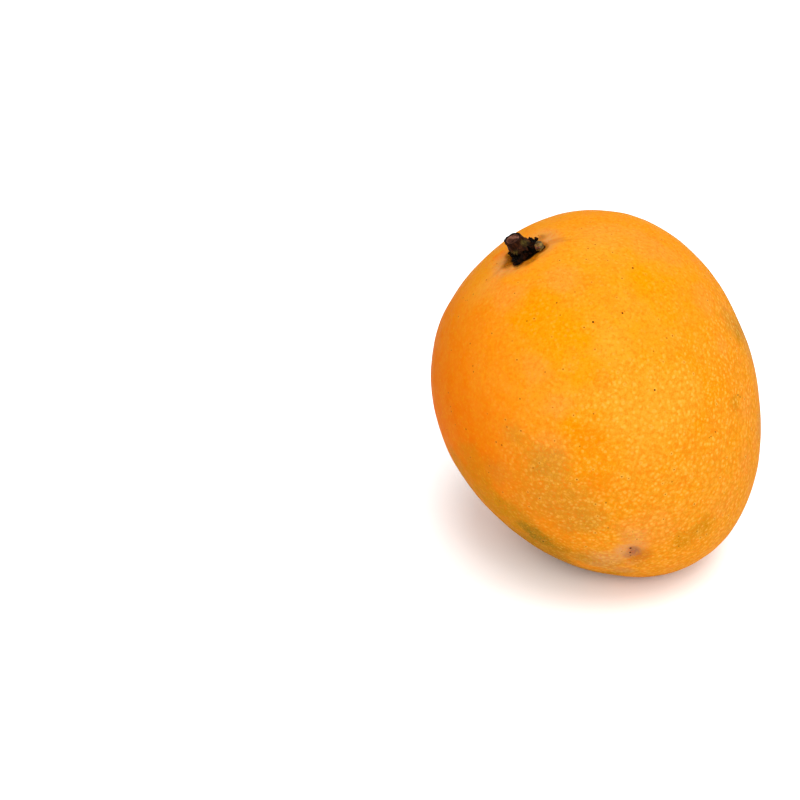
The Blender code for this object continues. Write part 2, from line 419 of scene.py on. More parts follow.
def capped_faces(rows, columns):
    """Faces of a grid of rings with a point at each end: the two ends come after the rings."""
    first = np.arange(columns)
    following = (first + 1) % columns
    here = np.arange(rows - 1)[:, None] * columns
    under = here + columns
    quads = (here + first, under + first, under + following, here + following)
    sides = np.stack([corner.ravel() for corner in quads], axis=1)
    last = (rows - 1) * columns
    start, end = rows * columns, rows * columns + 1
    top = np.column_stack((np.full(columns, start), first, following))
    bottom = np.column_stack((np.full(columns, end), last + following, last + first))
    return [*sides.tolist(), *top.tolist(), *bottom.tolist()]


def new_piece(name, points, faces, node):
    """A smooth mesh object in the frame, which rides on the root and replaces a solid."""
    mesh = bpy.data.meshes.new(name)
    mesh.from_pydata(points.tolist(), [], faces)
    mesh.update()
    mesh.shade_smooth()
    piece = bpy.data.objects.new(name, mesh)
    bpy.context.scene.collection.objects.link(piece)
    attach(piece, "root")
    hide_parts(node)
    return piece


def give_attribute(mesh, name, values):
    """One number for each point, which a material reads by name."""
    layer = mesh.attributes.new(name, "FLOAT", "POINT")
    layer.data.foreach_set("value", np.ascontiguousarray(values, np.float32))


def give_vector_attribute(mesh, name, values):
    layer = mesh.attributes.new(name, "FLOAT_VECTOR", "POINT")
    layer.data.foreach_set("vector", np.ascontiguousarray(values, np.float32).ravel())


def camera_axes(stage):
    """The camera's right, up and backward directions as rows."""
    level, steep = math.cos(stage.elevation), math.sin(stage.elevation)
    return np.array(((1.0, 0.0, 0.0), (0.0, steep, level), (0.0, -level, steep)))


def camera_place(stage, form):
    from_middle = np.array((-stage.aside, stage.below, stage.distance))
    return standing_place(form) + from_middle @ camera_axes(stage)


def photo_pixels(stage, form, points):
    """Where points fall in the photograph, in its pixels, and how far in front of the camera."""
    seen = (points - camera_place(stage, form)) @ camera_axes(stage).T
    scale = PHOTO_SIZE * stage.lens / stage.sensor
    ahead = -seen[:, 2]
    across = PHOTO_SIZE / 2.0 + scale * seen[:, 0] / ahead
    down = PHOTO_SIZE / 2.0 - scale * seen[:, 1] / ahead
    return np.column_stack((across, down)), ahead


class SkinFinder:
    """Finds the place on the skin that the photograph shows at a pixel."""

    def __init__(self, stage, form, points):
        self.pixels, ahead = photo_pixels(stage, form, points)
        self.points = points
        self.near = ahead < np.median(ahead)

    def off(self, across, down):
        """Every point's distance from a pixel, or more than any if it faces away."""
        off = np.hypot(self.pixels[:, 0] - across, self.pixels[:, 1] - down)
        return np.where(self.near, off, np.inf)

    def nearest(self, across, down):
        """The number of the point that the photograph shows nearest to a pixel."""
        return int(np.argmin(self.off(across, down)))

    def at(self, across, down):
        """The place between the three nearest points, by how near they are."""
        off = self.off(across, down)
        nearest = np.argsort(off)[:3]
        weight = 1.0 / (off[nearest] + 0.05)
        return (self.points[nearest] * weight[:, None]).sum(axis=0) / weight.sum()


# Soft patches of the skin of each colour, as (across, down, radius, strength), in the photograph's
# pixels.
PATCHES = {
    "deep": (
        # The first two deep patches, on the left edge, are partly painted shade.
        (452, 385, 40, 0.30), (470, 330, 30, 0.25), (600, 383, 10, 0.30), (594, 440, 16, 0.35),
        (600, 484, 14, 0.30), (499, 256, 8, 0.70),
    ),
    "gold": (
        (527, 314, 26, 0.95), (563, 333, 28, 0.95), (545, 300, 20, 0.50), (642, 281, 24, 0.95),
        (664, 311, 16, 0.40), (585, 368, 14, 0.60), (590, 437, 22, 0.70), (571, 426, 18, 0.60),
        (598, 467, 16, 0.70), (713, 393, 20, 0.70), (700, 423, 14, 0.40), (689, 360, 14, 0.40),
        (600, 486, 14, 0.50), (480, 440, 26, 0.60),
    ),
    "light": (
        (634, 409, 34, 0.75), (670, 418, 30, 0.70), (618, 355, 20, 0.40), (683, 382, 22, 0.50),
        (656, 437, 26, 0.50), (719, 453, 16, 0.40), (588, 245, 26, 0.50), (620, 228, 24, 0.40),
        (482, 290, 24, 0.70),
    ),
    "peach": (
        (508, 300, 20, 0.50), (492, 283, 16, 0.55), (563, 281, 18, 0.50), (601, 231, 22, 0.45),
        (642, 240, 24, 0.50), (670, 259, 18, 0.40), (705, 300, 18, 0.50), (724, 344, 14, 0.50),
        (557, 404, 14, 0.50), (536, 366, 16, 0.40), (555, 448, 18, 0.50), (656, 527, 30, 0.45),
        (623, 527, 16, 0.40), (746, 409, 16, 0.50), (745, 464, 18, 0.50), (720, 512, 22, 0.40),
    ),
    "olive": (
        (547, 464, 20, 0.35), (550, 484, 36, 0.32), (576, 507, 32, 0.36), (585, 524, 20, 0.25),
        (536, 506, 24, 0.20), (511, 431, 13, 0.26), (500, 472, 16, 0.26), (519, 519, 18, 0.40),
        (588, 556, 24, 0.40), (606, 564, 15, 0.55), (560, 552, 13, 0.45), (576, 558, 13, 0.60),
        (592, 564, 12, 0.45), (608, 568, 11, 0.40), (624, 572, 13, 0.50), (728, 318, 20, 0.40),
        # The two large patches on this line darken the right edge, which turns from the lights: partly
        # painted shade.
        (748, 338, 40, 0.62), (761, 418, 26, 0.40),
    ),
    "green": (
        (526, 528, 14, 0.85), (543, 540, 14, 0.90), (560, 549, 12, 0.60), (738, 330, 13, 0.45),
        (735, 402, 10, 0.35),
    ),
    "brown": (
        # The patches at the lower left, from 476 to 535 across, darken the edge that turns from the lights:
        # partly painted shade.
        (691, 535, 22, 0.50), (680, 544, 12, 0.40), (702, 527, 12, 0.40), (492, 495, 24, 0.60),
        (508, 516, 22, 0.65), (476, 468, 26, 0.50), (535, 535, 18, 0.50),
    ),
    "ash": (
        (628, 550, 13, 0.95), (625, 549, 9, 0.80), (640, 545, 10, 0.60), (634, 537, 12, 0.45),
        (612, 558, 16, 0.70), (600, 566, 12, 0.50), (620, 569, 12, 0.45), (630, 563, 8, 0.50),
    ),
    # The navel's orange-brown lower right side is painted shade in its dimple.
    "rust": (
        (640, 557, 10, 0.85), (632, 558, 7, 0.65), (646, 552, 8, 0.50), (640, 564, 8, 0.35),
    ),
    "bruise": (
        (634, 550, 7, 0.95), (628, 554, 6, 0.60),
    ),
    # Amber patches round the crust: partly a stain and partly painted shade in the hollow.
    "amber": (
        (511, 263, 8, 0.98), (507, 260, 4, 0.50), (531, 261, 9, 0.85), (520, 266, 5, 0.60),
        (541, 238, 6, 0.60),
    ),
}

# Dark points of the skin, as (across and down in the photograph's pixels, radius in metres,
# strength).
POINTS = (
    (593, 322, 0.00030, 0.95), (557, 303, 0.00022, 0.75), (575, 292, 0.00020, 0.60),
    (560, 315, 0.00020, 0.60), (527, 321, 0.00020, 0.70), (512, 341, 0.00018, 0.55),
    (470, 344, 0.00022, 0.60), (473, 366, 0.00022, 0.60), (545, 372, 0.00022, 0.55),
    (633, 268, 0.00028, 0.95), (622, 313, 0.00028, 0.90), (625, 311, 0.00016, 0.60),
    (655, 390, 0.00030, 0.85), (667, 338, 0.00022, 0.65), (654, 351, 0.00022, 0.55),
    (705, 276, 0.00022, 0.80), (520, 399, 0.00022, 0.60), (466, 429, 0.00024, 0.70),
    (502, 445, 0.00024, 0.65), (507, 427, 0.00020, 0.60), (594, 414, 0.00022, 0.60),
    (533, 468, 0.00020, 0.60), (455, 455, 0.00022, 0.60), (500, 501, 0.00024, 0.70),
    (543, 541, 0.00038, 0.95), (541, 539, 0.00022, 0.70), (580, 446, 0.00018, 0.60),
    (738, 395, 0.00026, 0.90), (740, 397, 0.00024, 0.90), (715, 432, 0.00020, 0.90),
    (711, 436, 0.00018, 0.80), (709, 438, 0.00018, 0.75), (606, 503, 0.00024, 0.60),
    (608, 528, 0.00022, 0.60), (640, 544, 0.00016, 0.40), (697, 531, 0.00022, 0.70),
    (679, 536, 0.00022, 0.65), (684, 532, 0.00018, 0.55), (679, 546, 0.00022, 0.65),
    (693, 547, 0.00020, 0.60), (672, 482, 0.00020, 0.60), (638, 566, 0.00026, 0.55),
    (630.7, 547.8, 0.00034, 0.95), (630.2, 552.1, 0.00027, 0.90), (630.2, 555.5, 0.00022, 0.55),
    (486, 280, 0.00024, 0.50), (514, 267, 0.00022, 0.60),
)

# Short dark scratches, as (across and down at one end, then at the other), in the photograph's
# pixels. Each is a row of spots.
SCRATCHES = (
    (707, 268, 712, 275),
    (741.5, 332, 743.5, 338),
    (744, 344, 746, 350),
)
SCRATCH_RADIUS = 0.00016
SCRATCH_STRENGTH = 0.75
SCRATCH_SPOTS = 5

# Patches on the sides that the photograph doesn't show: how many of each kind, and their sizes.
HIDDEN_PATCHES = {
    "gold": (12, 0.004, 0.008, 0.85),
    "light": (12, 0.005, 0.010, 0.65),
    "peach": (12, 0.004, 0.008, 0.55),
    "olive": (8, 0.003, 0.006, 0.45),
    "green": (4, 0.0015, 0.0030, 0.55),
    "brown": (8, 0.0020, 0.0045, 0.50),
}

# Painted shade that runs over the edge of the fruit as the camera sees it, where the skin turns from the
# lights: (kind, degrees round that edge from its right, cosine of the angle from there at which it starts,
# the same where it is full, strength).
PAINTED_EDGE_SHADE = (
    ("brown", 228, 0.75, 0.94, 0.90),
    ("green", 250, 0.88, 0.97, 0.50),
)
EDGE_SHADE_WANDER = ((0.02, 0.012, 45),)

# Cosines of the angle from the deep cheek's middle at which its deep orange starts and is full. That orange
# is partly the skin's own colour and partly painted shade and orange light reflected onto that side.
DEEP_CHEEK_START = 0.25
DEEP_CHEEK_FULL = 1.12
DEEP_CHEEK_WANDER = ((0.03, 0.018, 44),)

# Colours round the stem, by the distance from its axis at which each starts and is full. The amber ring is
# partly a stain and partly painted shade in the hollow against the crust, and the black floor is painted
# shade under the crust.
BLOOM_START, BLOOM_FULL, BLOOM_STRENGTH = 0.0110, 0.0056, 0.70
AMBER_START, AMBER_FULL, AMBER_STRENGTH = 0.0060, 0.0046, 0.90
HOLLOW_SHADE_START, HOLLOW_SHADE_FULL = 0.0044, 0.0038
HOLLOW_WANDER = ((0.0004, 0.0040, 41),)

# The bloom's share that is left in front of the stem and behind it, where the rest is beside it.
BLOOM_IN_FRONT = 0.15

# Where the black floor of the hollow, painted shade under the crust, stops short, in front of the stub.
HOLLOW_SHADE_NOTCH_AZIMUTH = math.radians(-24)
HOLLOW_SHADE_NOTCH_HALF_WIDTH = math.radians(26)
HOLLOW_SHADE_NOTCH_DEPTH = 0.0009

# A fold this deep gets the fullest painted shade, in the rust colour.
FOLD_SHADE_DEPTH = 0.00026
FOLD_SHADE_STRENGTH = 0.45

# Pores thin out to this share of them between two heights along the fruit's axis, and to none
# near the stem and the navel, by distance. Deep orange skin hides this share of them.
PORES_LEAST = 0.30
PORES_START = 0.030
PORES_FULL = -0.002
PORES_WANDER = ((0.005, 0.02, 43),)
PORES_FROM_STEM = (0.004, 0.014)
PORES_FROM_NAVEL = (0.0015, 0.0070)
DEEP_HIDES_PORES = 0.8

# The order in which the colours lie over each other.
KINDS = ("light", "gold", "deep", "peach", "olive", "brown", "green", "ash", "rust", "bruise", "amber")

# The edge of a patch wanders by this much, in waves of this size.
PATCH_WANDER = ((0.0008, 0.0090), (0.0005, 0.0035))

# One pixel of the photograph is this many metres at the fruit.
PHOTO_SCALE = 0.000238

# A patch smaller than this has a calmer edge.
CALM_RADIUS = 0.006

# A patch is full inside this share of its radius, and gone outside the other.
PATCH_FULL = 0.30
PATCH_GONE = 1.45

# The skin is hidden where it is farther from the camera than this share of its points, and is
# given patches above this height.
HIDDEN_BEYOND = 0.56
HIDDEN_ABOVE = 0.004


def patch_strength(points, shift, nearest, radius, strength):
    """A soft ball round a point of the skin, whose edge wanders and whose middle stays."""
    wander = (shift - shift[nearest]) * min(1.0, radius / CALM_RADIUS)
    away = np.linalg.norm(points - points[nearest] + wander, axis=1) / radius
    return strength * smooth_step(away, PATCH_GONE, PATCH_FULL)


def hidden_middles(stage, form, points, count, seed):
    """Seeded points of the side that faces away from the camera, by number.

    Points lie closer together near the stem, so the chance of each grows with its distance.
    """
    _, ahead = photo_pixels(stage, form, points)
    beyond = ahead > np.quantile(ahead, HIDDEN_BEYOND)
    hidden = np.flatnonzero(beyond & (points[:, 2] > HIDDEN_ABOVE))
    floor = stand(form, hollow_floor(form)[None, :])[0]
    chance = np.linalg.norm(points[hidden] - floor, axis=1)
    return np.random.default_rng(seed).choice(hidden, count, p=chance / chance.sum())


def joined(strength, other):
    """Two strengths as one, as independent chances join."""
    return 1.0 - (1.0 - strength) * (1.0 - other)


def patch_masks(stage, form, points):
    """How strongly the patches of each kind show at each point of the skin, from 0 to 1."""
    shift = np.zeros_like(points)
    for order, (reach, size) in enumerate(PATCH_WANDER):
        for axis in range(3):
            shift[:, axis] += reach * wave_field(points, size, 20 + 3 * order + axis)
    finder = SkinFinder(stage, form, points)
    masks = {kind: np.zeros(len(points)) for kind in KINDS}
    for kind, patches in PATCHES.items():
        for across, down, radius, strength in patches:
            nearest = finder.nearest(across, down)
            patch = patch_strength(points, shift, nearest, radius * PHOTO_SCALE, strength)
            masks[kind] = joined(masks[kind], patch)
    draw = np.random.default_rng(71)
    for order, (kind, (count, least, most, strength)) in enumerate(HIDDEN_PATCHES.items()):
        for nearest in hidden_middles(stage, form, points, count, 80 + order):
            radius = draw.uniform(least, most)
            patch = patch_strength(points, shift, nearest, radius, strength)
            masks[kind] = joined(masks[kind], patch)
    return masks


def colour_sides(stage, form, finish, points, masks):
    """Deepens the orange of one cheek, fading smoothly: partly the skin's own colour, partly painted shade
    and reflected orange light. Darkens the edge that turns from the lights with painted shade.
    """
    outward = points - standing_place(form)
    outward /= np.linalg.norm(outward, axis=1)[:, None]
    # Partly painted shade and reflected orange light on this side of the fruit.
    deep_cheek_side = direction(math.pi / 2.0 - finish.deep_cheek_height, finish.deep_cheek_heading)
    facing = outward @ deep_cheek_side + waves_of(points, DEEP_CHEEK_WANDER)
    masks["deep"] = joined(masks["deep"], smooth_step(facing, DEEP_CHEEK_START, DEEP_CHEEK_FULL))
    right, up, _ = camera_axes(stage)
    wander = waves_of(points, EDGE_SHADE_WANDER)
    # Painted shade: each of these darkens the skin towards one side of the edge that the camera sees.
    for kind, degrees, start, full, strength in PAINTED_EDGE_SHADE:
        side = math.cos(math.radians(degrees)) * right + math.sin(math.radians(degrees)) * up
        painted_edge_shade = strength * smooth_step(outward @ side + wander, start, full)
        masks[kind] = joined(masks[kind], painted_edge_shade)


def colour_hollow(form, own, points, masks):
    """Colours the skin round the stem: pale bloom; an amber ring, partly a stain and partly painted shade
    against the crust; a black floor of painted shade under the crust; and painted shade along the folds in
    the rust colour.
    """
    _, sideways, azimuth = round_stem(form, own)
    ragged = sideways + waves_of(points, HOLLOW_WANDER)
    beside = np.sin(azimuth - form.hollow_front_azimuth) ** 2
    bloom = smooth_step(ragged, BLOOM_START, BLOOM_FULL)
    bloom *= BLOOM_IN_FRONT + (1.0 - BLOOM_IN_FRONT) * beside
    masks["ash"] = np.maximum(masks["ash"], BLOOM_STRENGTH * bloom)
    # Partly painted shade in the hollow against the crust.
    amber = AMBER_STRENGTH * smooth_step(ragged, AMBER_START, AMBER_FULL)
    masks["amber"] = np.maximum(masks["amber"], amber)
    # The black floor under the crust is painted shade.
    notch = np.exp(-((turn_between(azimuth, HOLLOW_SHADE_NOTCH_AZIMUTH) / HOLLOW_SHADE_NOTCH_HALF_WIDTH) ** 2))
    masks["specks_and_hollow_shade"] = smooth_step(ragged + HOLLOW_SHADE_NOTCH_DEPTH * notch, HOLLOW_SHADE_START, HOLLOW_SHADE_FULL)
    # Painted shade along the folds, darker where they are deeper.
    fold_shade = np.clip(fold_depth(sideways, azimuth) / FOLD_SHADE_DEPTH, 0.0, 1.0)
    masks["rust"] = np.maximum(masks["rust"], FOLD_SHADE_STRENGTH * fold_shade**2)


def pore_mask(form, own, points, deep):
    """How plentiful the pores are: fewer at the stem end, none in the hollow or the navel."""
    along = own[:, 2] + waves_of(points, PORES_WANDER)
    plenty = PORES_LEAST + (1.0 - PORES_LEAST) * smooth_step(along, PORES_START, PORES_FULL)
    _, sideways, _ = round_stem(form, own)
    from_navel = np.linalg.norm(own - navel_middle(form), axis=1)
    calm = smooth_step(sideways, *PORES_FROM_STEM) * smooth_step(from_navel, *PORES_FROM_NAVEL)
    return plenty * calm * (1.0 - DEEP_HIDES_PORES * deep)


def skin_masks(stage, form, finish, own, points):
    """How strongly each colour and the pores show at each point of the skin, from 0 to 1."""
    masks = patch_masks(stage, form, points)
    colour_sides(stage, form, finish, points, masks)
    colour_hollow(form, own, points, masks)
    masks["pores"] = pore_mask(form, own, points, masks["deep"])
    return masks


def add_node(tree, kind, settings=None, inputs=None):
    """Adds a node with its settings, fills its inputs, and gives its outputs.

    Each input is another node's output, a number, or a colour as three numbers.
    """
    node = tree.nodes.new("ShaderNode" + kind)
    for name, value in (settings or {}).items():
        setattr(node, name, value)
    for name, value in (inputs or {}).items():
        socket = node.inputs[name]
        if isinstance(value, bpy.types.NodeSocket):
            tree.links.new(value, socket)
        elif socket.type == "RGBA":
            socket.default_value = (*value, 1.0)
        else:
            socket.default_value = value
    return node.outputs


# Settings of nodes, and the numbers of the sockets of a Mix node that mixes colours. A Map
# Range node's inputs 0 to 4 are the value, the range that it comes from and the one it goes to.
COLOURS = {"data_type": "RGBA"}
SMOOTH = {"interpolation_type": "SMOOTHSTEP"}
PRODUCT = {"operation": "MULTIPLY", "use_clamp": True}
FACTOR, FIRST, SECOND, RESULT = 0, 6, 7, 2


def new_material(name):
    """A material with only a Principled shader in it, its tree, and that shader's inputs."""
    material = bpy.data.materials.new(name)
    material.use_nodes = True
    tree = material.node_tree
    return material, tree, tree.nodes["Principled BSDF"].inputs


def lay_colours(tree, ground, layers):
    """Lays colours over a ground in turn, each given as (strength, colour)."""
    for strength, tint in layers:
        mix = {FACTOR: strength, FIRST: ground, SECOND: tint}
        ground = add_node(tree, "Mix", COLOURS, mix)[RESULT]
    return ground


# A dark point is full inside this share of its radius, and gone outside the other.
POINT_FULL = 0.45
POINT_GONE = 1.15


def dark_points(tree, place, spots):
    """1 inside any of the spots, each given as (middle, radius, strength), and 0 outside."""
    total = 0.0
    for middle, radius, strength in spots:
        away = add_node(tree, "VectorMath", {"operation": "DISTANCE"}, {0: place, 1: tuple(middle)})
        edges = {0: away["Value"], 1: radius * POINT_FULL, 2: radius * POINT_GONE, 3: strength, 4: 0.0}
        spot = add_node(tree, "MapRange", SMOOTH, edges)[0]
        total = add_node(tree, "Math", {"operation": "MAXIMUM"}, {0: total, 1: spot})[0]
    return total


# What the skin's fine marks are read from: (pattern, where it starts and is full, strength at
# its start and when full). Pores and pins sit near the middles of a pattern's cells.
SKIN_MARKS = {
    "pale": ("cloud", 0.42, 0.64, 0.0, 0.45),
    "rich": ("mottle", 0.46, 0.68, 0.0, 0.45),
    "warm": ("mottle", 0.50, 0.30, 0.0, 0.24),
    "blotch": ("mottle", 0.30, 0.70, 0.78, 1.14),
    "small_pore": ("small_cell", 0.43, 0.20, 0.0, 0.50),
    "lively": ("small_chance", 0.15, 0.75, 0.15, 1.0),
    "large_pore": ("large_cell", 0.26, 0.12, 0.0, 0.40),
    "between": ("small_cell", 0.38, 0.72, 0.0, 0.36),
    "dull": ("grain", 0.52, 0.34, 0.0, 0.50),
    "clear": ("grain", 0.50, 0.66, 0.0, 0.45),
    "fleck": ("grain", 0.50, 0.70, 0.0, 0.34),
    "pin": ("large_cell", 0.095, 0.050, 0.0, 0.85),
    "some": ("large_chance", 0.30, 0.42, 0.0, 1.0),
}

# How much smoother and rougher than its middle value the wax is, from place to place.
SMOOTHER, ROUGHER = 0.04, 0.06


def skin_patterns(tree, place, finish):
    """The noises and cells that the skin's fine marks are read from, by name."""
    spread = {"Vector": place, "Detail": 3.0}
    cloud = add_node(tree, "TexNoise", None, {**spread, "Scale": 1.0 / finish.cloud_size})[0]
    mottle = add_node(tree, "TexNoise", None, {**spread, "Scale": 1.0 / finish.mottle_size})[0]
    finest = {**spread, "Scale": 1.0 / finish.grain_size, "Roughness": 0.75}
    grain = add_node(tree, "TexNoise", None, finest)
    # A pore is where the skin passes near a cell's middle, so pores differ in size.
    jitter = {0: grain["Color"], 1: (finish.pore_jitter,) * 3, 2: place}
    uneven = add_node(tree, "VectorMath", {"operation": "MULTIPLY_ADD"}, jitter)[0]
    small = add_node(tree, "TexVoronoi", None, {"Vector": uneven, "Scale": 1.0 / finish.pore_cell})
    large = add_node(tree, "TexVoronoi", None, {"Vector": uneven, "Scale": 1.0 / finish.large_pore_cell})
    return {
        "cloud": cloud,
        "mottle": mottle,
        "grain": grain[0],
        "small_cell": small["Distance"],
        "small_chance": small["Color"],
        "large_cell": large["Distance"],
        "large_chance": large["Color"],
    }


def waxy_skin(finish, spots):
    """Ripe mango skin: wax over pigment, yellow to deep orange, with pale raised pores.

    The wax is half matt, so lights spread in it, and a little light comes back out of the
    flesh. Patches are read from the mesh, and pores, clouding and specks from the place.
    """
    material, tree, shader = new_material("mango_skin_waxy")
    place = add_node(tree, "TexCoord")["Object"]
    patterns = skin_patterns(tree, place, finish)
    marks = {}
    for name, (pattern, start, full, least, most) in SKIN_MARKS.items():
        limits = {0: patterns[pattern], 1: start, 2: full, 3: least, 4: most}
        marks[name] = add_node(tree, "MapRange", SMOOTH, limits)[0]
    seen = {}
    for kind in (*KINDS, "pores", "specks_and_hollow_shade"):
        seen[kind] = add_node(tree, "Attribute", {"attribute_name": kind})["Fac"]

    # Pores, what lies between them and the pale flecks are only where pores are plentiful.
    small = add_node(tree, "Math", PRODUCT, {0: marks["small_pore"], 1: marks["lively"]})[0]
    marks["pore"] = add_node(tree, "Math", {"operation": "MAXIMUM"}, {0: small, 1: marks["large_pore"]})[0]
    for name in ("pore", "between", "fleck"):
        marks[name] = add_node(tree, "Math", PRODUCT, {0: marks[name], 1: seen["pores"]})[0]
    # Some large pores have a dark point in their middle.
    marks["pin"] = add_node(tree, "Math", PRODUCT, {0: marks["pin"], 1: marks["some"]})[0]

    layers = [(marks["pale"], finish.light), (marks["rich"], finish.gold), (marks["warm"], finish.deep)]
    # Of these kinds, rust is painted shade, amber is partly painted shade, and deep is partly painted shade
    # and reflected light.
    for kind in KINDS:
        blotched = add_node(tree, "Math", PRODUCT, {0: seen[kind], 1: marks["blotch"]})[0]
        layers.append((blotched, getattr(finish, kind)))
    layers += [
        (marks["between"], finish.brown),
        (marks["dull"], finish.deep),
        (marks["clear"], finish.gold),
        (marks["fleck"], finish.pore),
        (marks["pore"], finish.pore),
        (marks["pin"], finish.amber),
        (dark_points(tree, place, spots), finish.specks_and_hollow_shade),
        # Painted shade: the hollow's black floor under the crust.
        (seen["specks_and_hollow_shade"], finish.specks_and_hollow_shade),
    ]
    tree.links.new(lay_colours(tree, finish.ground, layers), shader["Base Color"])

    least, most = finish.roughness - SMOOTHER, finish.roughness + ROUGHER
    limits = {0: patterns["mottle"], 1: 0.3, 2: 0.7, 3: least, 4: most}
    tree.links.new(add_node(tree, "MapRange", SMOOTH, limits)[0], shader["Roughness"])
    height = marks["pore"]
    for name in ("grain", "mottle"):
        height = add_node(tree, "Math", {"operation": "ADD"}, {0: height, 1: patterns[name]})[0]
    bump = {"Strength": 0.35, "Distance": 0.0001, "Height": height}
    tree.links.new(add_node(tree, "Bump", None, bump)[0], shader["Normal"])
    shader["IOR"].default_value = 1.45
    shader["Specular IOR Level"].default_value = finish.gloss
    shader["Subsurface Weight"].default_value = 0.08
    shader["Subsurface Radius"].default_value = (1.0, 0.45, 0.12)
    shader["Subsurface Scale"].default_value = 0.002
    return material


def photo_spots(finder):
    """The dark points and scratches as (middle, radius, strength)."""
    spots = [(finder.at(across, down), radius, strength) for across, down, radius, strength in POINTS]
    for across, down, end_across, end_down in SCRATCHES:
        for part in np.linspace(0.0, 1.0, SCRATCH_SPOTS):
            middle = finder.at(across + part * (end_across - across), down + part * (end_down - down))
            spots.append((middle, SCRATCH_RADIUS, SCRATCH_STRENGTH))
    return spots


# Rings are this share closer together at the stem, where the hollow's wall is steep, and the
# share falls as this power of the way left to the tip.
RINGS_CLOSER = 0.62
RINGS_CLOSER_POWER = 1.5


class MANGO_OT_fruit(Operator):
    """Makes the fruit's fine skin in the place of its solid"""

    bl_idname = "mango.fruit"
    bl_label = "Fruit"

    def execute(self, context):
        form = context.scene.mango_form
        finish = context.scene.mango_skin
        stage = context.scene.mango_stage
        part = np.arange(1, form.rows + 1) / (form.rows + 1.0)
        polar = math.pi * part * (1.0 - RINGS_CLOSER * (1.0 - part) ** RINGS_CLOSER_POWER)
        own = skin_points(form, stem_first(form, *ring_angles(polar, form.columns)))
        points = stand(form, own)
        settle(points)
        faces = capped_faces(form.rows, form.columns)
        fruit = new_piece("fruit_skin", points, faces, "fruit")
        for name, values in skin_masks(stage, form, finish, own, points).items():
            give_attribute(fruit.data, name, values)
        spots = photo_spots(SkinFinder(stage, form, points))
        fruit.data.materials.append(waxy_skin(finish, spots))
        return {"FINISHED"}


# The wood's turned profile from the middle of the cut to below the crust, as (radius, height).
WOOD_PROFILE = (
    (0.00040, 0.00428),
    (0.00090, 0.00428),
    (0.00134, 0.00434),
    (0.00150, 0.00456),
    (0.00162, 0.00476),
    (0.00188, 0.00480),
    (0.00204, 0.00456),
    (0.00210, 0.00395),
    (0.00219, 0.00330),
    (0.00230, 0.00275),
    (0.00245, 0.00225),
    (0.00256, 0.00175),
    (0.00260, 0.00110),
    (0.00240, 0.00050),
)
CUT_FACE_RADIUS = 0.00152

# Above this height the wood's surface belongs to its cut.
CUT_LOWEST = 0.00421

# The cut's hollow face is nearer to one side, where the rim is thin.
FACE_ASIDE = 0.00022
FACE_ASIDE_AZIMUTH = math.radians(-16)

# On that side the rim's height over the face is this share lower.
RIM_LOWER = 0.85

# Radii over which the bark's roughness grows in, the face's shift does towards the middle, and the painted
# shade on the rim's far inner wall does, and half the width of the face's soft edge.
BARK_RADII = (0.0014, 0.0020)
SHIFTED_RADII = (0.00190, 0.00130)
RIM_SHADE_RADII = (0.00138, 0.00156)
FACE_EDGE = 0.0001

# Cosines of the angle from the side that the face is set to, over which the rim's lower side and the
# painted shade on its far inner wall grow in.
LOW_SIDE = (-0.3, 0.7)
FAR_WALL_SHADE = (0.65, -0.10)

# Waves of the bark, of the rim and of the cut's face, as (height, size, seed). The bark's long
# ones are read from places that are drawn together along the wood.
ALONG_WOOD = (1.0, 1.0, 0.22)
BARK_RIDGES = ((0.00005, 0.0011, 51), (0.00003, 0.0005, 52))
BARK_LUMPS = ((0.00004, 0.0016, 53),)
RIM_WAVES = ((0.00005, 0.0014, 54),)
FACE_WAVES = ((0.00004, 0.0006, 55),)

# The cut's pale band: which way it lies from the middle, how far, and its half width.
PALE_BAND_AZIMUTH = math.radians(105)
PALE_BAND_OUT = 0.00072
PALE_BAND_HALF_WIDTH = 0.00042

# The pale ring at the edge of the cut's face, a painted highlight on that lit edge, as a share of the
# band's strength, and the distances from that edge over which it grows in.
PALE_RING = 0.7
PALE_RING_EDGE = (0.00016, 0.00004)

# The two pith holes in the cut, as (across, along, radius, depth). Their near black colour is painted
# shade.
PITH_HOLES = (
    (0.00030, -0.00070, 0.00042, 0.00060),
    (0.00082, 0.00020, 0.00038, 0.00060),
)

# The width of one fibre of bark and of the cut's grain, and which way that grain runs.
FIBRE_WIDTH = 0.0007
CUT_GRAIN_WIDTH = 0.0004
CUT_GRAIN_AZIMUTH = math.radians(74)

# Sizes of the bark's dark patches, of the crust's patches and cracks, of the bud scar's wrinkles
# and of the paper's tooth.
BARK_PATCH_SIZE = 0.0016
CRUST_PATCH_SIZE = 0.0012
CRUST_CRACK_SIZE = 0.0005
WRINKLE_SIZE = 0.0010
PAPER_TOOTH_SIZE = 0.004

# Bark that has stayed olive: (azimuth in degrees, height, radius of the patch, strength).
OLIVE_BARK = (
    (14, 0.00290, 0.00100, 0.95),
    (34, 0.00240, 0.00070, 0.50),
    (-62, 0.00165, 0.00095, 0.90),
    (-95, 0.00170, 0.00070, 0.70),
    (170, 0.00250, 0.00100, 0.60),
)
BARK_RADIUS = 0.0024

# A patch of it grows in over these shares of its radius.
OLIVE_EDGE = (1.4, 0.3)

# The crust's turned profile from inside the wood to under its skirt, as (radius, height).
CRUST_PROFILE = (
    (0.00040, 0.00180),
    (0.00200, 0.00185),
    (0.00290, 0.00205),
    (0.00325, 0.00185),
    (0.00350, 0.00150),
    (0.00370, 0.00118),
    (0.00405, 0.00080),
    (0.00432, 0.00045),
    (0.00440, 0.00015),
    (0.00415, 0.00003),
    (0.00300, 0.00003),
    (0.00060, 0.00003),
)

# The crust's share of that radius, and its tongues and notches: (azimuth, half width, share).
CRUST_REACH = 0.85
CRUST_TONGUES = ((-66, 24, 0.36), (-122, 30, -0.22), (-22, 26, -0.24), (22, 20, 0.08))

